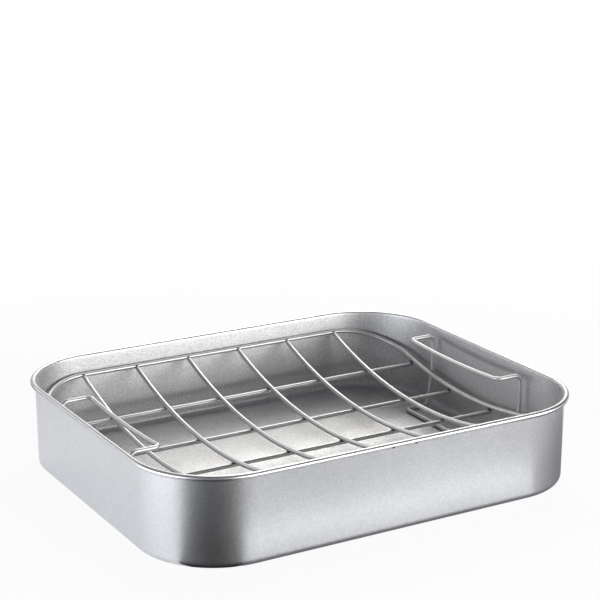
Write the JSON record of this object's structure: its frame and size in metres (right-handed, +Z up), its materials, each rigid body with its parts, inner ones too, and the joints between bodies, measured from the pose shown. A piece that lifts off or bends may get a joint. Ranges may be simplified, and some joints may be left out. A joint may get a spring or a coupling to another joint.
{
  "type": "roasting pan with rack",
  "caption": "Deep rounded-rectangular oven roasting pan with a rolled rim, holding a bowed wire roasting rack that lifts out by two wire handles which are also its feet.",
  "frame": {"origin": "on the table, under the middle of the pan's floor", "axes": "+X along the pan's length towards one handle, +Y across the pan, +Z up"},
  "size_m": [0.4, 0.334, 0.077],
  "materials": {
    "silver_coat": "satin silver coating with a fine metallic grain",
    "plain_steel": "drawn wire",
    "bright_wire": "bright plated wire"
  },
  "bodies": {
    "pan": {"pan_shell": "silver_coat", "rim_wire": "plain_steel"},
    "rack": {"rack_frame": "bright_wire", "cross_wire_1": "bright_wire", "cross_wire_2": "bright_wire", "cross_wire_3": "bright_wire", "cross_wire_4": "bright_wire", "cross_wire_5": "bright_wire", "cross_wire_6": "bright_wire", "long_wire_1": "bright_wire", "long_wire_2": "bright_wire", "long_wire_3": "bright_wire", "long_wire_4": "bright_wire", "handle_left": "bright_wire", "handle_right": "bright_wire"}
  },
  "joints": [
    {"name": "rack_lift", "type": "slide", "parent": "pan", "child": "rack", "axis": [0, 0, 1], "range_m": [0, 0.1]}
  ]
}
